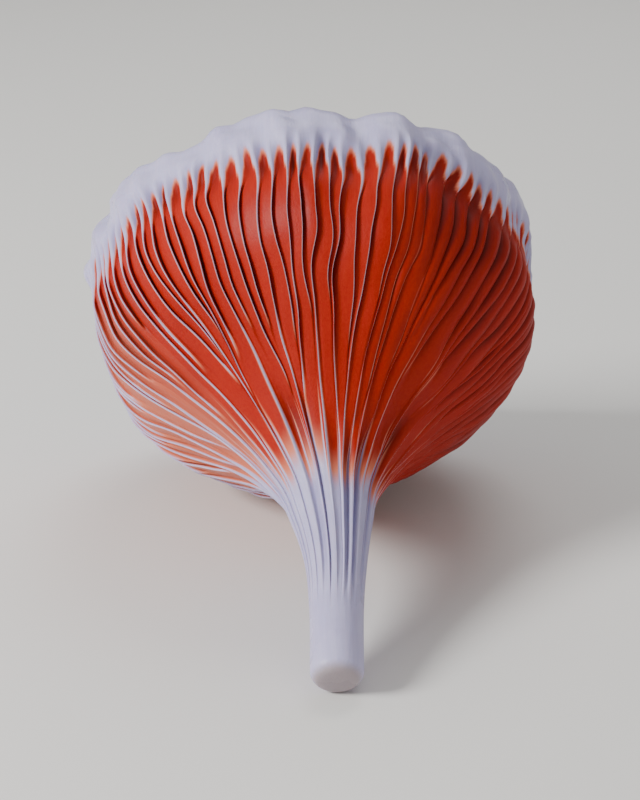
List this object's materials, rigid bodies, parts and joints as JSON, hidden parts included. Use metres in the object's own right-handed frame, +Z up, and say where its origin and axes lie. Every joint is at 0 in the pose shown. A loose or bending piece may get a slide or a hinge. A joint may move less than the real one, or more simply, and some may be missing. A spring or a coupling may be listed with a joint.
{
  "type": "trumpet-shaped gilled mushroom",
  "caption": "Picked mushroom lying on its side, with gills that run from a smooth rolled margin over a bulging underside and down a slim flared stem.",
  "frame": {"origin": "middle of the bounding box, at the surface that the mushroom lies on", "axes": "+Z up from the surface, +Y along the mushroom from the cut foot of its stem towards the cap, +X to the right as seen from the foot"},
  "size_m": [0.0802, 0.1066, 0.076],
  "materials": {
    "flesh": "matte, slightly moist flesh"
  },
  "bodies": {
    "root": {"mushroom": "flesh"}
  },
  "joints": []
}
